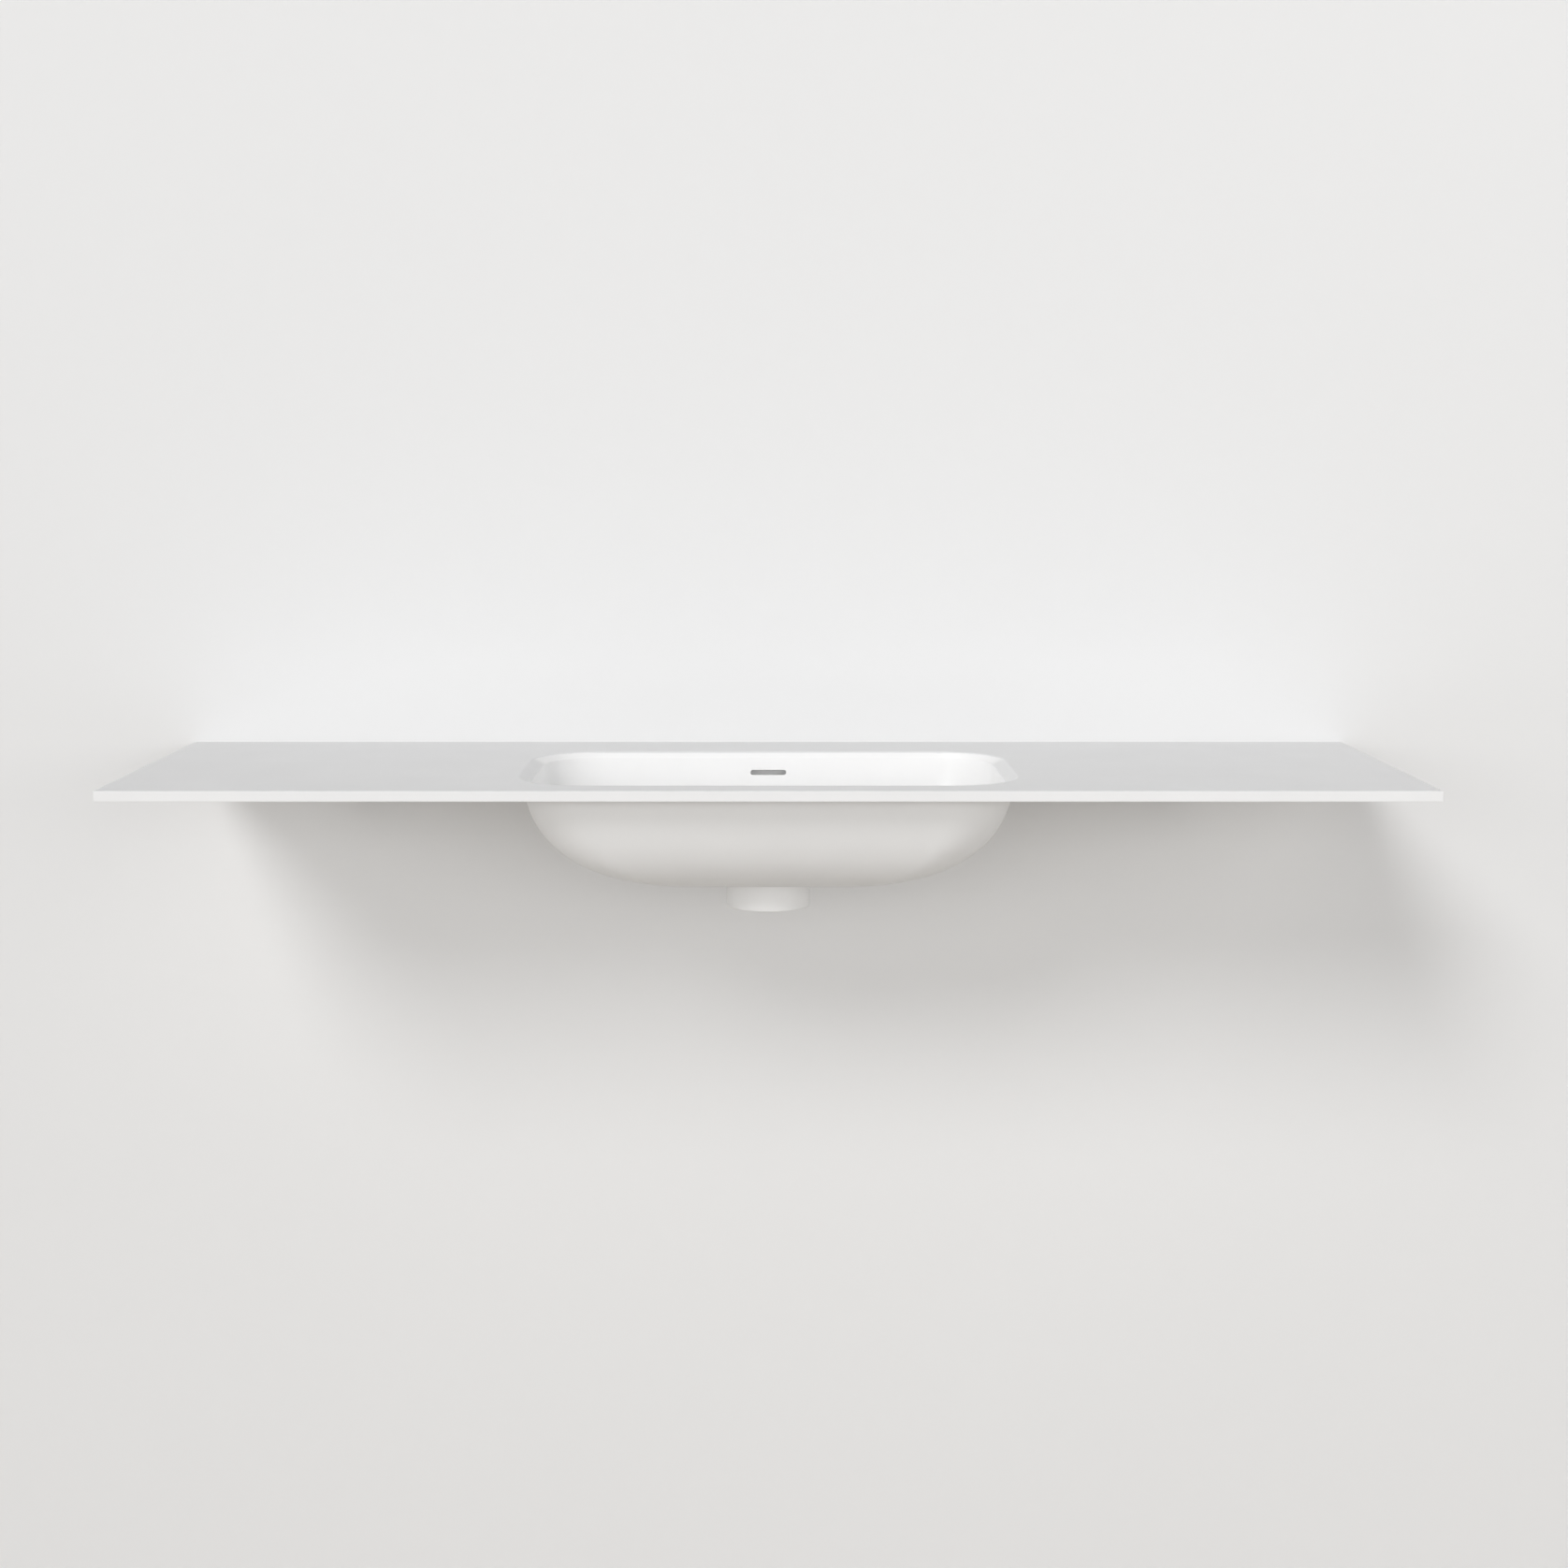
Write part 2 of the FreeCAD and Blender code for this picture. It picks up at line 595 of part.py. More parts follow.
def plug():
    """Cap, seal and stem of the pop-up plug, shut; heights are measured from the bowl's floor."""
    cap = new_body("plug_cap", "0", BASIN_Y, BOWL_FLOOR)
    disc = half("plug_diameter")
    neck = half("neck_diameter")
    socket = "Sizes.stem_diameter / 2 + Sizes.fit_gap"
    under = cell("plug_gap")
    top = "Sizes.plug_gap + Sizes.plug_thickness"
    revolve(cap, "cap", [
        ("0", under), (socket, under), (socket, NECK_BOTTOM), (neck, NECK_BOTTOM), (neck, under),
        (disc, under), (disc, top), ("0", top),
    ])
    highest = value_of(top)
    fillet(cap, "cap_edge", cell("plug_edge_radius"), lambda e: at_height(e, highest))
    finished(cap, "plug_cap")

    seal = new_body("plug_seal", "0", BASIN_Y, BOWL_FLOOR)
    slope = "(Sizes.seat_diameter - Sizes.waste_bore_diameter) / 2 / Sizes.seat_depth"
    seal_top = "Sizes.seat_diameter / 2 - Sizes.fit_gap"
    seal_bottom = f"{seal_top} - {slope} * Sizes.neck_length"
    inner = "Sizes.neck_diameter / 2 + Sizes.fit_gap"
    revolve(seal, "cone_seal", [
        (inner, NECK_BOTTOM), (seal_bottom, NECK_BOTTOM), (seal_top, under), (inner, under),
    ])
    finished(seal, "plug_seal")

    stem = new_body("plug_stem", "0", BASIN_Y, BOWL_FLOOR)
    rod = half("stem_diameter")
    collar = half("stem_collar_diameter")
    foot = f"-{HUB_BOTTOM}"
    head = "Sizes.plug_gap - Sizes.fit_gap"
    revolve(stem, "stem", [
        ("0", foot), (rod, foot), (rod, STEM_COLLAR_BOTTOM), (collar, STEM_COLLAR_BOTTOM),
        (collar, NECK_BOTTOM), (rod, NECK_BOTTOM), (rod, head), ("0", head),
    ])
    finished(stem, "plug_stem")


def wall_bracket(side, sign):
    """Pressed channel bracket: a top plate, a wall plate and two tapered cheeks."""
    centre = f"{sign}{BRACKET_X}"
    body = new_body(f"wall_bracket_{side}", centre, "0", BRACKET_TOP)
    reach = "-Sizes.bracket_reach"
    outline = new_sketch(body, f"bracket_outline_{side}", "YZ_Plane")
    nose_corner = (reach, "-Sizes.bracket_nose")
    wall_corner = ("0", "-Sizes.bracket_height")
    polygon(outline, [("0", "0"), (reach, "0"), nose_corner, wall_corner])
    pad(body, outline, f"bracket_block_{side}", cell("bracket_width"), symmetric=True)
    inside = new_sketch(body, f"bracket_inside_{side}", "YZ_Plane")
    sheet_edge = "-Sizes.bracket_sheet"
    beyond_nose = "-2 * Sizes.bracket_reach"
    below_plate = "-2 * Sizes.bracket_height"
    polygon(inside, rectangle_points(beyond_nose, sheet_edge, below_plate, sheet_edge))
    hollow_width = "Sizes.bracket_width - 2 * Sizes.bracket_sheet"
    pocket(body, inside, f"bracket_hollow_{side}", hollow_width, symmetric=True)

    outer_face = value_of(half("bracket_width"))
    nose = value_of("-Sizes.bracket_nose")
    front_face = value_of(reach)

    def on_bend(edge):
        box = edge.BoundBox
        along = box.YLength > EDGE_TOLERANCE
        return along and at_height(edge, 0) and abs(abs(box.XMin) - outer_face) < EDGE_TOLERANCE

    def on_nose(edge):
        return at_height(edge, nose) and edge.BoundBox.YMax < front_face + EDGE_TOLERANCE

    fillet(body, f"bracket_bends_{side}", cell("bracket_bend_radius"), on_bend)
    fillet(body, f"bracket_nose_{side}", cell("bracket_nose_radius"), on_nose)

    wall_holes = new_sketch(body, f"wall_holes_outline_{side}", "XZ_Plane")
    circle(wall_holes, cell("wall_hole_diameter"), "0", "-Sizes.wall_hole_drop")
    circle(wall_holes, cell("wall_hole_diameter"), "0", "-Sizes.wall_hole_drop - Sizes.wall_hole_pitch")
    pocket(body, wall_holes, f"wall_holes_{side}", cell("bracket_sheet"), reverse=True)
    screw_holes(body, f"bracket_screw_holes_{side}", cell("bracket_sheet"))
    finished(body, f"wall_bracket_{side}")

    strip = new_body(f"bracket_pad_{side}", centre, "0", UNDERSIDE)
    edge = half("pad_width")
    strip_outline = new_sketch(strip, f"pad_outline_{side}")
    front = "-Sizes.bracket_reach + Sizes.pad_margin"
    polygon(strip_outline, rectangle_points(f"-{edge}", edge, front, "-Sizes.pad_margin"))
    pad(strip, strip_outline, f"pad_strip_{side}", cell("pad_thickness"), reverse=True)
    screw_holes(strip, f"pad_screw_holes_{side}", cell("pad_thickness"))
    finished(strip, f"bracket_pad_{side}")


def screw_holes(body, name, depth):
    """Two clearance holes along a bracket, cut down from the body's top."""
    sketch = new_sketch(body, f"{name}_outline")
    for _, y in fixing_places()[:2]:
        circle(sketch, "Sizes.screw_diameter + 2 * Sizes.screw_clearance", "0", y)
    pocket(body, sketch, name, depth)


def cylinder(name, diameter, height, x, y, z):
    feature = doc.addObject("Part::Cylinder", name)
    feature.setExpression("Radius", f"({diameter}) / 2")
    feature.setExpression("Height", height)
    place(feature, x, y, z)
    return feature


def tube(name, diameter, bore, height, x, y, z):
    outer = cylinder(f"{name}_outer", diameter, height, x, y, z)
    hole = cylinder(f"{name}_hole", bore, height, x, y, z)
    return boolean("Cut", name, outer, hole)


def slab_fixings():
    """Threaded inserts in the slab's underside, with the bracket screws and washers."""
    screws = []
    washers = []
    inserts = []
    seat = f"{BRACKET_TOP} - Sizes.bracket_sheet - Sizes.washer_thickness"
    grip = "Sizes.washer_thickness + Sizes.bracket_sheet + Sizes.pad_thickness"
    shank_length = f"{grip} + Sizes.insert_length - Sizes.screw_clearance"
    clear_bore = "Sizes.screw_diameter + 2 * Sizes.fit_gap"
    for i, (x, y) in enumerate(fixing_places()):
        shank = cylinder(f"shank_{i}", cell("screw_diameter"), shank_length, x, y, seat)
        head_bottom = f"{seat} - Sizes.screw_head_height"
        head_size = (cell("screw_head_diameter"), cell("screw_head_height"))
        head = cylinder(f"head_{i}", *head_size, x, y, head_bottom)
        recess = doc.addObject("Part::Prism", f"recess_{i}")
        recess.Polygon = 6
        recess.setExpression("Circumradius", half("screw_socket_diameter"))
        recess.setExpression("Height", cell("screw_socket_depth"))
        place(recess, x, y, head_bottom)
        socket_head = boolean("Cut", f"socket_head_{i}", head, recess)
        screws.append(boolean("Fuse", f"screw_{i}", socket_head, shank))
        washer_size = (cell("washer_diameter"), clear_bore, cell("washer_thickness"))
        washers.append(tube(f"washer_{i}", *washer_size, x, y, seat))
        insert_size = (cell("insert_diameter"), clear_bore, cell("insert_length"))
        inserts.append(tube(f"insert_{i}", *insert_size, x, y, UNDERSIDE))
    groups = {"bracket_screws": screws, "screw_washers": washers, "threaded_inserts": inserts}
    for label, pieces in groups.items():
        group = doc.addObject("Part::Compound", label)
        group.Links = pieces
        finished(group, label)


def check_document():
    """Stop if any object failed or any piece is empty or invalid."""
    doc.recompute()
    failed = [o.Label for o in doc.Objects if "Invalid" in o.State or "Error" in o.State]
    if failed:
        raise RuntimeError(f"failed objects: {failed}")
    for piece in parts:
        if piece.Shape.isNull() or not piece.Shape.isValid() or not piece.Shape.Solids:
            raise RuntimeError(f"bad shape: {piece.Label}")


countertop_slab()
basin_bowl()
overflow_channel()
drain_boss()
outlet_ring()
waste_body()
click_cartridge()
plug()
for side, sign in (("left", "-"), ("right", "")):
    wall_bracket(side, sign)
slab_fixings()
check_document()

os.makedirs("parts", exist_ok=True)
for piece in parts:
    piece.Shape.exportStep(f"parts/{piece.Label}.step")
    print(piece.Label, "solids:", len(piece.Shape.Solids), "volume:", round(piece.Shape.Volume))
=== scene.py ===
import json
import math
from collections import namedtuple

import bpy
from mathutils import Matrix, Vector

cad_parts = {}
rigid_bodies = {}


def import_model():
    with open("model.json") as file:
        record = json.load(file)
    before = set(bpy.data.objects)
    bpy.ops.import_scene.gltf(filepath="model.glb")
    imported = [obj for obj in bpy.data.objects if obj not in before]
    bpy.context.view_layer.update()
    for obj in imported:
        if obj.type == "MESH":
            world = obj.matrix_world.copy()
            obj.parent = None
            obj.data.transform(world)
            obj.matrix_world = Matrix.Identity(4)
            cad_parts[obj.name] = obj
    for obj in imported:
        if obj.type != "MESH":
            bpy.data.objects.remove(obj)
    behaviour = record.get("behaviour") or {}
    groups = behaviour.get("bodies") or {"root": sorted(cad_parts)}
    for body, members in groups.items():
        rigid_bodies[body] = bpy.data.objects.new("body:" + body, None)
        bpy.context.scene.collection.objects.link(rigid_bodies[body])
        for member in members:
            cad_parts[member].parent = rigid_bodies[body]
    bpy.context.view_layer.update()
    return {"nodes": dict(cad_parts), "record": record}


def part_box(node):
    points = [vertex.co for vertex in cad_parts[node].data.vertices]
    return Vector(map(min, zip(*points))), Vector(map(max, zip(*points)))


# A wall-hung vanity sink top in a plain pale studio. Lengths are metres, in the part's own frame:
# origin at the middle of the slab's rear top edge, +X right, +Y into the wall, +Z up.

for leftover in list(bpy.data.objects):
    bpy.data.objects.remove(leftover)
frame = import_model()

MILLIMETRE = 0.001

# Camera, as the photograph was taken
CAMERA_PLACE = (0.0, -2.986, 0.3547)
CAMERA_PITCH_DOWN = math.radians(7.818)
PHOTO_SIZE_PX = 1676
FOCAL_LENGTH_PX = 2456.4
SLAB_MIDDLE_PX = 821.28
SENSOR_WIDTH_MM = 36.0

# Stage
WALL_GAP = 0.8 * MILLIMETRE
# light that sets out this close to the wall passes through it, and so reaches the part's rear faces
WALL_CLEAR_LENGTH = 4.0 * MILLIMETRE
WALL_HALF_WIDTH = 6.0
WALL_TOP = 4.0
FLOOR_DROP = 1.45
FLOOR_REACH = 7.0
COVE_RADIUS = 0.15
COVE_STEPS = 12
WALL_COLOUR = (0.80, 0.80, 0.80)
# the wall's faint clouds are darker than the rest of it by this factor
WALL_CLOUD_SHADE = 0.995
# the floor looks as pale as the wall, but throws back only this much light, a little warm
FLOOR_BOUNCE_COLOUR = (0.505, 0.465, 0.415)

# Light
KEY_AZIMUTH = math.radians(28)
KEY_ELEVATION = math.radians(36)
KEY_STRENGTH = 1.30
KEY_ANGLE = math.radians(22)
FRONT_LIGHT_SIZE = (10.0, 1.2)
FRONT_LIGHT_PLACE = (0.0, -5.0, 0.6)
FRONT_LIGHT_POWER = 66.0
SIDE_LIGHT_SIZE = (2.0, 2.0)
SIDE_LIGHT_PLACE = (3.5, -2.5, 3.2)
SIDE_LIGHT_POWER = 12.5
# how bright the surroundings are from straight down (0) through the horizon (0.5) to straight up (1)
WORLD_BANDS = ((0.0, 2.0), (0.5, 0.81), (0.6, 1.30), (0.75, 0.0), (1.0, 0.0))
BACKGROUND_COLOUR = (0.80, 0.80, 0.80)

# Resin: each finish has a cloud of two colours and a sheen between two roughnesses
Finish = namedtuple("Finish", "dark light smooth rough")
SLAB_FINISH = Finish((0.824, 0.825, 0.828), (0.842, 0.843, 0.846), 0.60, 0.72)
# the underside's colours are painted darker, as painted shade under the bowl
UNDERSIDE_SHADED_FINISH = Finish((0.808, 0.808, 0.805), (0.826, 0.826, 0.823), 0.46, 0.58)
# the inside's colours are painted whiter, as painted light inside the bowl and on the slab's lip; its lower
# roughness is the real polish
INSIDE_LIT_FINISH = Finish((0.914, 0.913, 0.911), (0.926, 0.925, 0.923), 0.30, 0.37)
SLAB_GLOSS = 0.25
BOWL_GLOSS = 0.45
# a surface takes the inside's finish, polished and with its colour painted whiter as painted light, as it
# turns to face a point this deep under the basin's middle, while the point's distance from the surface's own
# plane grows from the first length to the second
LIP_AIM_DEPTH = 0.12
LIP_AIM_DISTANCES = (0.05, 0.09)
BOWL_AIM_DEPTH = 0.0
BOWL_AIM_DISTANCES = (-4.0 * MILLIMETRE, 4.0 * MILLIMETRE)

# noise seldom leaves this part of its range from 0 to 1
NOISE_LOW = 0.3
NOISE_HIGH = 0.7

bowl_low, bowl_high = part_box("basin_bowl")
BASIN_CENTRE_Y = (bowl_low.y + bowl_high.y) / 2


class Shader:
    """A material's node tree, with short calls for the nodes that the finishes use."""

    def __init__(self, name):
        self.material = bpy.data.materials.new(name)
        self.material.use_nodes = True
        self.tree = self.material.node_tree
        self.principled = self.tree.nodes["Principled BSDF"]
        self.coordinates = self.tree.nodes.new("ShaderNodeTexCoord").outputs["Object"]

    def node(self, kind, **settings):
        made = self.tree.nodes.new(kind)
        for key, value in settings.items():
            setattr(made, key, value)
        return made

    def link(self, source, target):
        self.tree.links.new(source, target)

    def set(self, **values):
        """Set constants on the principled shader, with underscores for the spaces in socket names."""
        for key, value in values.items():
            socket_name = key.replace("_", " ").title().replace("Ior", "IOR")
            self.principled.inputs[socket_name].default_value = value

    def noise(self, scale, detail=3.0, stretch=(1.0, 1.0, 1.0)):
        """Noise in the part's own coordinates; scale is in features per metre."""
        mapping = self.node("ShaderNodeMapping")
        mapping.inputs["Scale"].default_value = stretch
        self.link(self.coordinates, mapping.inputs["Vector"])
        texture = self.node("ShaderNodeTexNoise")
        texture.inputs["Scale"].default_value = scale
        texture.inputs["Detail"].default_value = detail
        self.link(mapping.outputs["Vector"], texture.inputs["Vector"])
        return texture.outputs["Fac"]

    def spread(self, value, low, high, start=NOISE_LOW, end=NOISE_HIGH):
        """Map a value from start..end to low..high."""
        mapped = self.node("ShaderNodeMapRange")
        mapped.inputs["From Min"].default_value = start
        mapped.inputs["From Max"].default_value = end
        mapped.inputs["To Min"].default_value = low
        mapped.inputs["To Max"].default_value = high
        self.link(value, mapped.inputs["Value"])
        return mapped.outputs["Result"]

    def colours(self, noise, low, high):
        """Map noise to a blend of two colours."""
        ramp = self.node("ShaderNodeValToRGB")
        first, last = ramp.color_ramp.elements
        first.position = NOISE_LOW
        first.color = (*low, 1.0)
        last.position = NOISE_HIGH
        last.color = (*high, 1.0)
        self.link(noise, ramp.inputs["Fac"])
        return ramp.outputs["Color"]

    def blend(self, share, first, second, data_type="FLOAT"):
        """Go from the first value or colour to the second as share goes from 0 to 1."""
        mix = self.node("ShaderNodeMix", data_type=data_type)
        mixed = [socket for socket in mix.inputs if socket.enabled and socket.name in ("A", "B")]
        for value, socket in zip((first, second), mixed):
            if hasattr(value, "is_linked"):
                self.link(value, socket)
            else:
                socket.default_value = value
        self.link(share, mix.inputs["Factor"])
        return next(socket for socket in mix.outputs if socket.enabled)

    def base_colour(self, colour):
        self.link(colour, self.principled.inputs["Base Color"])

    def roughness(self, value):
        self.link(value, self.principled.inputs["Roughness"])

    def bump(self, height, distance, strength):
        bump = self.node("ShaderNodeBump")
        bump.inputs["Strength"].default_value = strength
        bump.inputs["Distance"].default_value = distance
        self.link(height, bump.inputs["Height"])
        self.link(bump.outputs["Normal"], self.principled.inputs["Normal"])


def facing_point(shader, depth, distances):
    """A value that goes from 0 to 1 as the surface turns to face a point under the basin's middle."""
    geometry = shader.node("ShaderNodeNewGeometry")
    to_point = shader.node("ShaderNodeVectorMath", operation="SUBTRACT")
    to_point.inputs[0].default_value = (0.0, BASIN_CENTRE_Y, -depth)
    shader.link(geometry.outputs["Position"], to_point.inputs[1])
    facing = shader.node("ShaderNodeVectorMath", operation="DOT_PRODUCT")
    shader.link(to_point.outputs["Vector"], facing.inputs[0])
    shader.link(geometry.outputs["Normal"], facing.inputs[1])
    return shader.spread(facing.outputs["Value"], 0.0, 1.0, *distances)


def resin(name, gloss, satin, aim_depth, aim_distances):
    """White mineral-filled resin, satin outside and polished inside, with a faint cloud over a fine grain;
    the inside's colour is painted whiter than the outside's, as painted light.
    """
    shader = Shader(name)
    shader.set(specular_ior_level=gloss)
    inside = facing_point(shader, aim_depth, aim_distances)
    cloud = shader.noise(scale=8.0, detail=4.0)
    sheen = shader.noise(scale=18.0, detail=4.0)
    grain = shader.noise(scale=2200.0, detail=2.0)
    finishes = (satin, INSIDE_LIT_FINISH)
    colours = [shader.colours(cloud, finish.dark, finish.light) for finish in finishes]
    roughnesses = [shader.spread(sheen, finish.smooth, finish.rough) for finish in finishes]
    # painted light and shade: the colour goes whiter where the mask turns to the inside and stays darker on
    # the bowl's underside
    shader.base_colour(shader.blend(inside, *colours, data_type="RGBA"))
    shader.roughness(shader.blend(inside, *roughnesses))
    shader.bump(grain, distance=0.01 * MILLIMETRE, strength=0.2)
    return shader.material


def slab_resin():
    """The slab is satin, and polished where its lip turns steeply down into the bowl, where its colour is
    also painted whiter as painted light.
    """
    return resin("slab_resin", SLAB_GLOSS, SLAB_FINISH, LIP_AIM_DEPTH, LIP_AIM_DISTANCES)


def bowl_resin():
    """The bowl and what is bonded to it are polished inside and left satin on the underside; the inside's
    colour is painted whiter as painted light and the underside's darker as painted shade.
    """
    return resin("bowl_resin", BOWL_GLOSS, UNDERSIDE_SHADED_FINISH, BOWL_AIM_DEPTH, BOWL_AIM_DISTANCES)


def chrome():
    """Polished chrome with a faint haze."""
    shader = Shader("polished_chrome")
    shader.set(metallic=1.0)
    tint = shader.noise(scale=60.0)
    haze = shader.noise(scale=900.0, detail=4.0)
    ripple = shader.noise(scale=500.0, detail=2.0)
    shader.base_colour(shader.colours(tint, low=(0.74, 0.75, 0.76), high=(0.80, 0.81, 0.82)))
    shader.roughness(shader.spread(haze, low=0.07, high=0.15))
    shader.bump(ripple, distance=0.005 * MILLIMETRE, strength=0.2)
    return shader.material


def brass():
    """Turned brass: fine rings of tool marks."""
    shader = Shader("turned_brass")
    shader.set(metallic=1.0)
    tarnish = shader.noise(scale=80.0, detail=4.0)
    marks = shader.noise(scale=40.0, stretch=(1.0, 1.0, 80.0))
    shader.base_colour(shader.colours(tarnish, low=(0.60, 0.44, 0.19), high=(0.76, 0.59, 0.30)))
    shader.roughness(shader.spread(marks, low=0.30, high=0.44))
    shader.bump(marks, distance=0.02 * MILLIMETRE, strength=0.4)
    return shader.material


def steel():
    """Plain bright steel, with marks drawn round the piece."""
    shader = Shader("bright_steel")
    shader.set(metallic=1.0)
    tint = shader.noise(scale=120.0, detail=4.0)
    marks = shader.noise(scale=60.0, stretch=(1.0, 1.0, 60.0))
    shader.base_colour(shader.colours(tint, low=(0.54, 0.55, 0.56), high=(0.67, 0.68, 0.69)))
    shader.roughness(shader.spread(marks, low=0.30, high=0.42))
    shader.bump(marks, distance=0.01 * MILLIMETRE, strength=0.4)
    return shader.material


def rubber(name, low, high):
    """Matt rubber, dusty between two dark greys."""
    shader = Shader(name)
    dust = shader.noise(scale=150.0, detail=5.0)
    sheen = shader.noise(scale=400.0)
    grain = shader.noise(scale=1500.0)
    shader.base_colour(shader.colours(dust, low, high))
    shader.roughness(shader.spread(sheen, low=0.62, high=0.82))
    shader.bump(grain, distance=0.04 * MILLIMETRE, strength=0.5)
    return shader.material


def moulded_plastic():
    """White moulded plastic with a fine sparked texture."""
    shader = Shader("moulded_plastic")
    tint = shader.noise(scale=90.0)
    sheen = shader.noise(scale=300.0)
    grain = shader.noise(scale=900.0, detail=2.0)
    shader.base_colour(shader.colours(tint, low=(0.74, 0.74, 0.71), high=(0.80, 0.80, 0.78)))
    shader.roughness(shader.spread(sheen, low=0.38, high=0.52))
    shader.bump(grain, distance=0.02 * MILLIMETRE, strength=0.3)
    return shader.material


def powder_coat():
    """White powder coat with its orange-peel texture."""
    shader = Shader("white_powder_coat")
    tint = shader.noise(scale=25.0, detail=4.0)
    sheen = shader.noise(scale=200.0, detail=2.0)
    peel = shader.noise(scale=700.0, detail=2.0)
    shader.base_colour(shader.colours(tint, low=(0.76, 0.76, 0.75), high=(0.82, 0.82, 0.81)))
    shader.roughness(shader.spread(sheen, low=0.40, high=0.55))
    shader.bump(peel, distance=0.05 * MILLIMETRE, strength=0.5)
    return shader.material


def dress():
    """Give every node of the part its finish."""
    by_node = {"countertop_slab": slab_resin()}
    by_slot = {
        "solid_surface": bowl_resin(),
        "ring_brass": brass(),
        "waste_chrome": chrome(),
        "seal_rubber": rubber("seal_rubber", (0.035, 0.035, 0.038), (0.065, 0.065, 0.068)),
        "pad_rubber": rubber("pad_rubber", (0.085, 0.085, 0.088), (0.125, 0.125, 0.128)),
        "cartridge_plastic": moulded_plastic(),
        "fixing_steel": steel(),
        "bracket_paint": powder_coat(),
    }
    for subpart in frame["record"]["subparts"]:
        name = subpart["node"]
        finish = by_node.get(name) or by_slot[subpart["material_slot"]]
        for material_slot in frame["nodes"][name].material_slots:
            material_slot.material = finish


def seen_directly(tree):
    """A value that is 1 for what the camera, a mirror or glass shows, and 0 for scattered light."""
    path = tree.nodes.new("ShaderNodeLightPath")
    seen = path.outputs["Is Camera Ray"]
    for ray in ("Is Glossy Ray", "Is Transmission Ray"):
        either = tree.nodes.new("ShaderNodeMath")
        either.operation = "MAXIMUM"
        tree.links.new(seen, either.inputs[0])
        tree.links.new(path.outputs[ray], either.inputs[1])
        seen = either.outputs["Value"]
    return seen


def let_through(shader):
    """A value that is 1 behind the backdrop and for light that sets out close to it, and 0 elsewhere."""
    geometry = shader.node("ShaderNodeNewGeometry")
    path = shader.node("ShaderNodeLightPath")
    close = shader.node("ShaderNodeMath", operation="LESS_THAN")
    close.inputs[1].default_value = WALL_CLEAR_LENGTH
    shader.link(path.outputs["Ray Length"], close.inputs[0])
    either = shader.node("ShaderNodeMath", operation="MAXIMUM")
    shader.link(geometry.outputs["Backfacing"], either.inputs[0])
    shader.link(close.outputs["Value"], either.inputs[1])
    return either.outputs["Value"]


def backdrop_material(name, bounce_colour):
    """Pale matt paint, clear from behind and to what touches it, so that the part shows from every side."""
    shader = Shader(name)
    cloud = shader.noise(scale=0.8)
    paint = shader.colours(cloud, [c * WALL_CLOUD_SHADE for c in WALL_COLOUR], WALL_COLOUR)
    seen = seen_directly(shader.tree)
    shader.base_colour(shader.blend(seen, (*bounce_colour, 1.0), paint, data_type="RGBA"))
    shader.set(roughness=1.0, specular_ior_level=0.0)
    clear = shader.node("ShaderNodeBsdfTransparent")
    mix = shader.node("ShaderNodeMixShader")
    output = shader.tree.nodes["Material Output"]
    shader.link(let_through(shader), mix.inputs["Fac"])
    shader.link(shader.principled.outputs["BSDF"], mix.inputs[1])
    shader.link(clear.outputs["BSDF"], mix.inputs[2])
    shader.link(mix.outputs["Shader"], output.inputs["Surface"])
    return shader.material


def add_backdrop():
    """A wall behind the part that runs down and out into a floor."""
    profile = [(WALL_GAP, WALL_TOP)]
    for step in range(COVE_STEPS + 1):
        angle = math.pi / 2 * step / COVE_STEPS
        y = WALL_GAP - COVE_RADIUS * (1 - math.cos(angle))
        z = -FLOOR_DROP + COVE_RADIUS * (1 - math.sin(angle))
        profile.append((y, z))
    profile.append((-FLOOR_REACH, -FLOOR_DROP))
    vertices = [(x, y, z) for y, z in profile for x in (-WALL_HALF_WIDTH, WALL_HALF_WIDTH)]
    faces = [(2 * i, 2 * i + 2, 2 * i + 3, 2 * i + 1) for i in range(len(profile) - 1)]
    mesh = bpy.data.meshes.new("backdrop")
    mesh.from_pydata(vertices, [], faces)
    mesh.shade_smooth()
    backdrop = bpy.data.objects.new("backdrop", mesh)
    mesh.materials.append(backdrop_material("pale_wall", WALL_COLOUR))
    mesh.materials.append(backdrop_material("pale_floor", FLOOR_BOUNCE_COLOUR))
    for polygon in mesh.polygons:
        polygon.material_index = 1 if polygon.center.z < COVE_RADIUS - FLOOR_DROP else 0
    bpy.context.scene.collection.objects.link(backdrop)


def add_key_light():
    """A soft sun from the front left, which throws the shadow on the wall."""
    key = bpy.data.lights.new("key", "SUN")
    key.energy = KEY_STRENGTH
    key.angle = KEY_ANGLE
    key_object = bpy.data.objects.new("key", key)
    to_key = Vector((
        -math.sin(KEY_AZIMUTH) * math.cos(KEY_ELEVATION),
        -math.cos(KEY_AZIMUTH) * math.cos(KEY_ELEVATION),
        math.sin(KEY_ELEVATION),
    ))
    key_object.rotation_mode = "QUATERNION"
    key_object.rotation_quaternion = to_key.to_track_quat("Z", "Y")
    bpy.context.scene.collection.objects.link(key_object)


def add_softbox(name, size, place, power):
    """A rectangular lamp that looks at the basin's middle."""
    lamp = bpy.data.lights.new(name, "AREA")
    lamp.shape = "RECTANGLE"
    lamp.size, lamp.size_y = size
    lamp.energy = power
    softbox = bpy.data.objects.new(name, lamp)
    softbox.location = place
    aim = Vector((0.0, BASIN_CENTRE_Y, 0.0)) - Vector(place)
    softbox.rotation_mode = "QUATERNION"
    softbox.rotation_quaternion = aim.to_track_quat("-Z", "Y")
    bpy.context.scene.collection.objects.link(softbox)


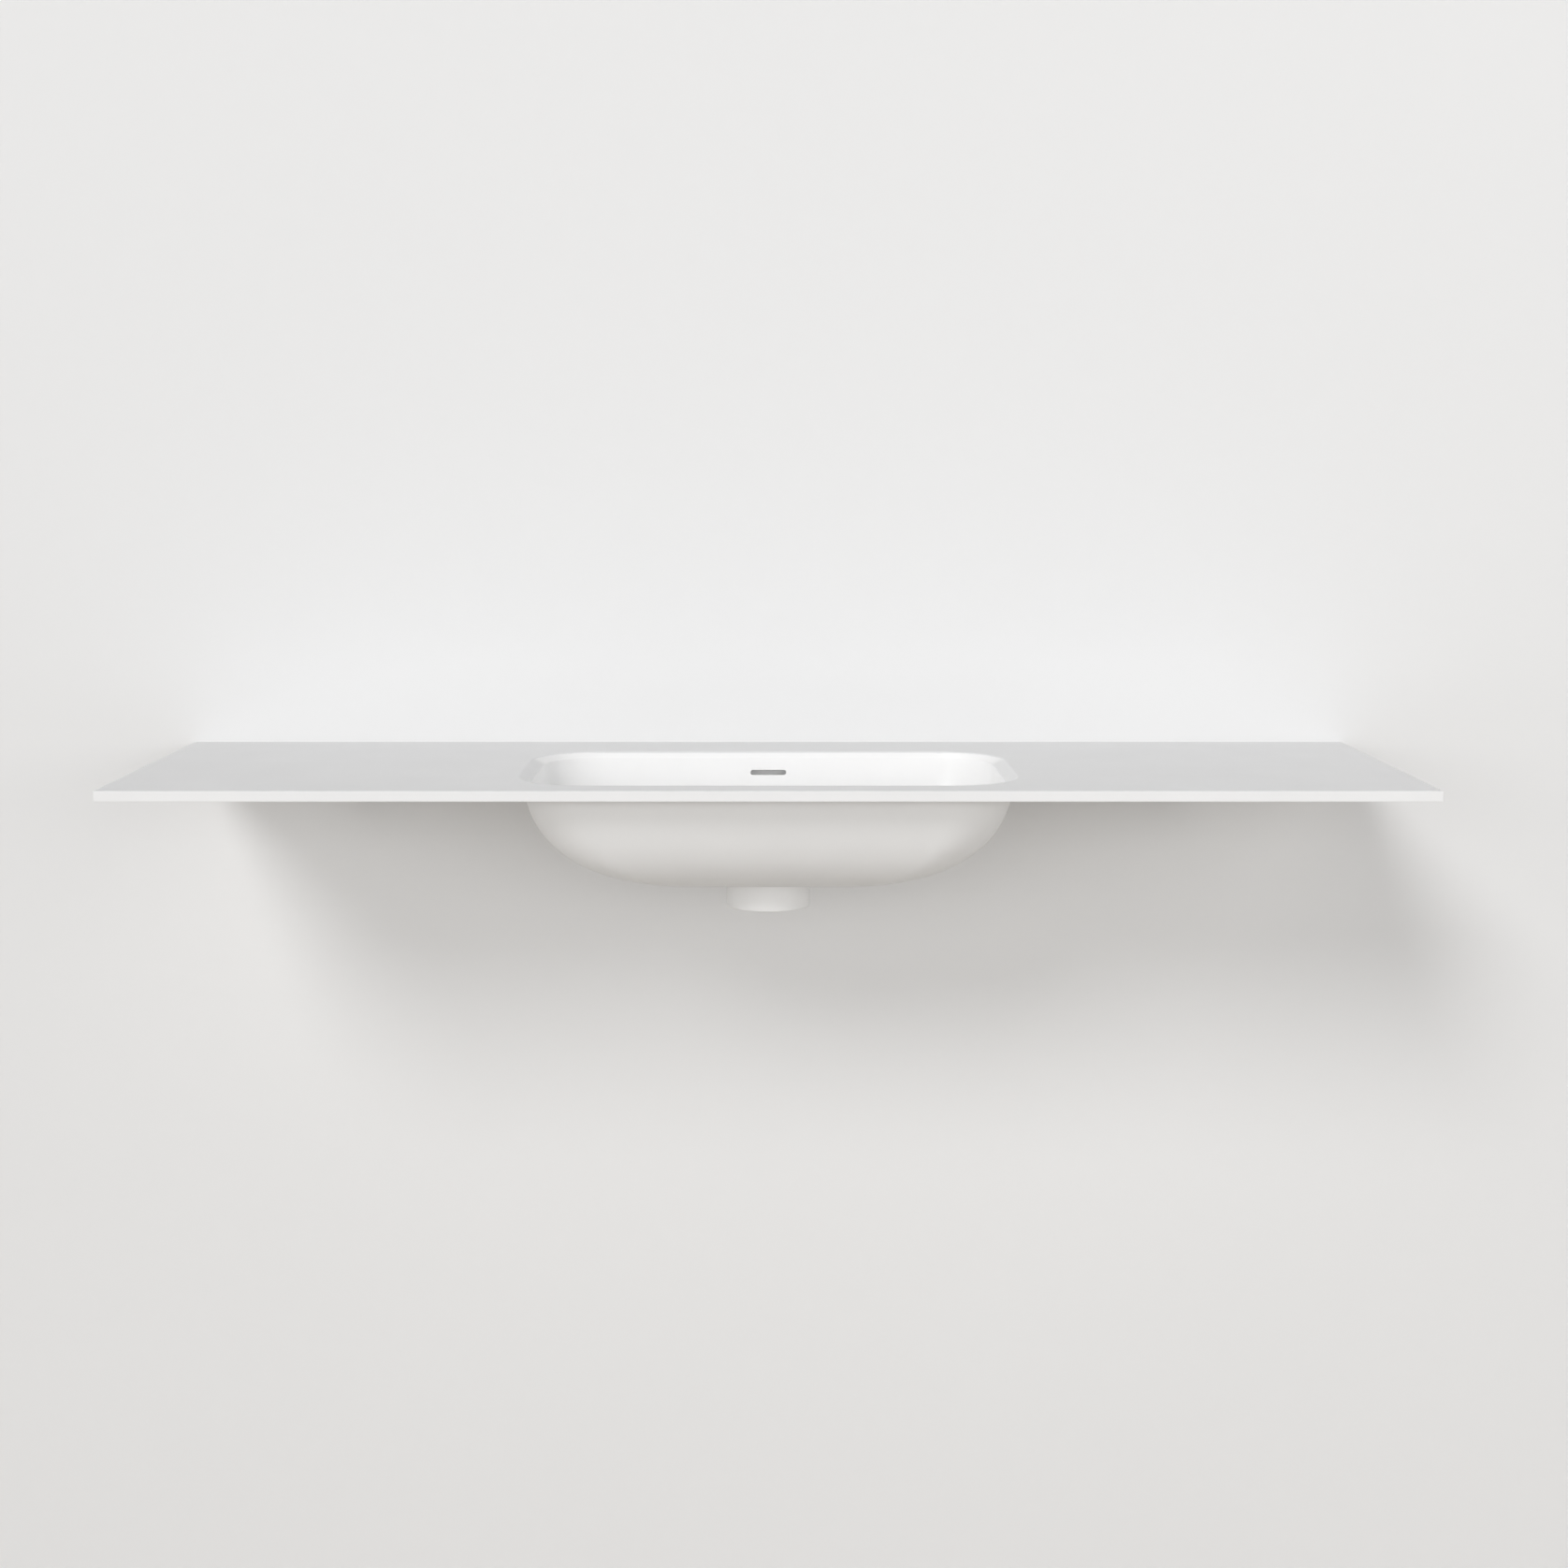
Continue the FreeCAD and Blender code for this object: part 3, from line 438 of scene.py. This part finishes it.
def add_world():
    """Soft light from all round; where it is seen directly it is the pale background."""
    world = bpy.data.worlds.new("studio")
    bpy.context.scene.world = world
    world.use_nodes = True
    tree = world.node_tree
    light = tree.nodes["Background"]
    direction = tree.nodes.new("ShaderNodeTexCoord").outputs["Generated"]
    parts = tree.nodes.new("ShaderNodeSeparateXYZ")
    height = tree.nodes.new("ShaderNodeMapRange")
    height.inputs["From Min"].default_value = -1.0
    bands = tree.nodes.new("ShaderNodeValToRGB")
    elements = bands.color_ramp.elements
    while len(elements) < len(WORLD_BANDS):
        elements.new(0.5)
    for element, (position, level) in zip(elements, WORLD_BANDS):
        element.position = position
        element.color = (level, level, level, 1.0)
    tree.links.new(direction, parts.inputs["Vector"])
    tree.links.new(parts.outputs["Z"], height.inputs["Value"])
    tree.links.new(height.outputs["Result"], bands.inputs["Fac"])
    tree.links.new(bands.outputs["Color"], light.inputs["Color"])
    background = tree.nodes.new("ShaderNodeBackground")
    background.inputs["Color"].default_value = (*BACKGROUND_COLOUR, 1.0)
    mix = tree.nodes.new("ShaderNodeMixShader")
    tree.links.new(seen_directly(tree), mix.inputs["Fac"])
    tree.links.new(light.outputs["Background"], mix.inputs[1])
    tree.links.new(background.outputs["Background"], mix.inputs[2])
    tree.links.new(mix.outputs["Shader"], tree.nodes["World Output"].inputs["Surface"])


def add_camera():
    """The photograph's camera: its shift puts the slab's middle where the photograph has it."""
    camera = bpy.data.cameras.new("camera")
    camera.sensor_width = SENSOR_WIDTH_MM
    camera.lens = FOCAL_LENGTH_PX / PHOTO_SIZE_PX * SENSOR_WIDTH_MM
    camera.shift_x = (PHOTO_SIZE_PX / 2 - SLAB_MIDDLE_PX) / PHOTO_SIZE_PX
    camera_object = bpy.data.objects.new("camera", camera)
    camera_object.location = CAMERA_PLACE
    camera_object.rotation_euler = (math.pi / 2 - CAMERA_PITCH_DOWN, 0.0, 0.0)
    bpy.context.scene.collection.objects.link(camera_object)
    bpy.context.scene.camera = camera_object


dress()
add_backdrop()
add_key_light()
add_softbox("front_softbox", FRONT_LIGHT_SIZE, FRONT_LIGHT_PLACE, FRONT_LIGHT_POWER)
add_softbox("side_softbox", SIDE_LIGHT_SIZE, SIDE_LIGHT_PLACE, SIDE_LIGHT_POWER)
add_world()
add_camera()
bpy.context.scene.view_settings.view_transform = "Standard"
